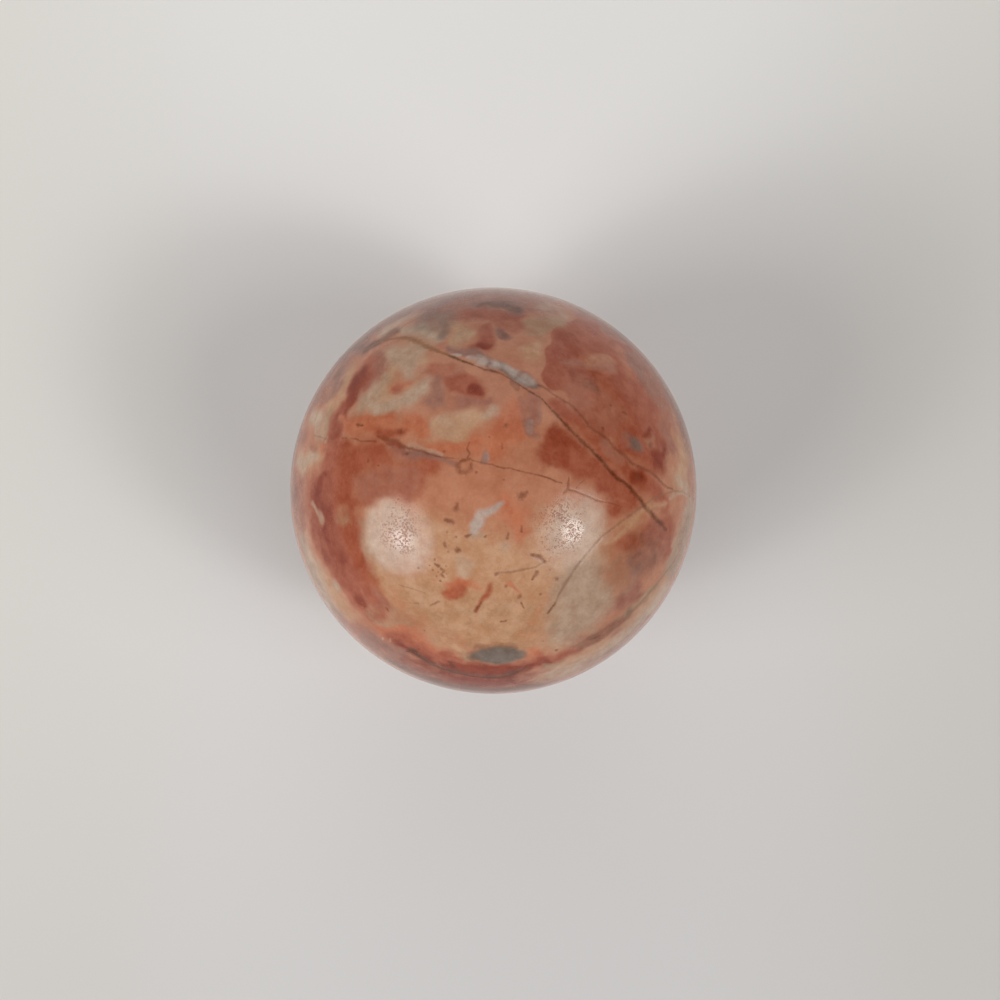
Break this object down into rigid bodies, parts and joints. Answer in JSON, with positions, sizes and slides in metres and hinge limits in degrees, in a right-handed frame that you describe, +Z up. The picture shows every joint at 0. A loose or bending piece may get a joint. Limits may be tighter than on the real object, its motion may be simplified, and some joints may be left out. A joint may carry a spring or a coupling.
{
  "type": "decorative sphere",
  "caption": "Polished solid stone ball that stands on a shelf or desk as an ornament, on a small flat ground on its underside.",
  "frame": {"origin": "centre of the small flat that the ball stands on", "axes": "+Z up through the ball's centre to its crown; +X to the right and +Y away in the view from above"},
  "size_m": [0.05, 0.05, 0.0496],
  "materials": {
    "polished_stone": "polished, brick red, orange and buff clouds with grey spots, brown hairline fractures and fine pits"
  },
  "bodies": {
    "root": {"stone_sphere": "polished_stone"}
  },
  "joints": []
}
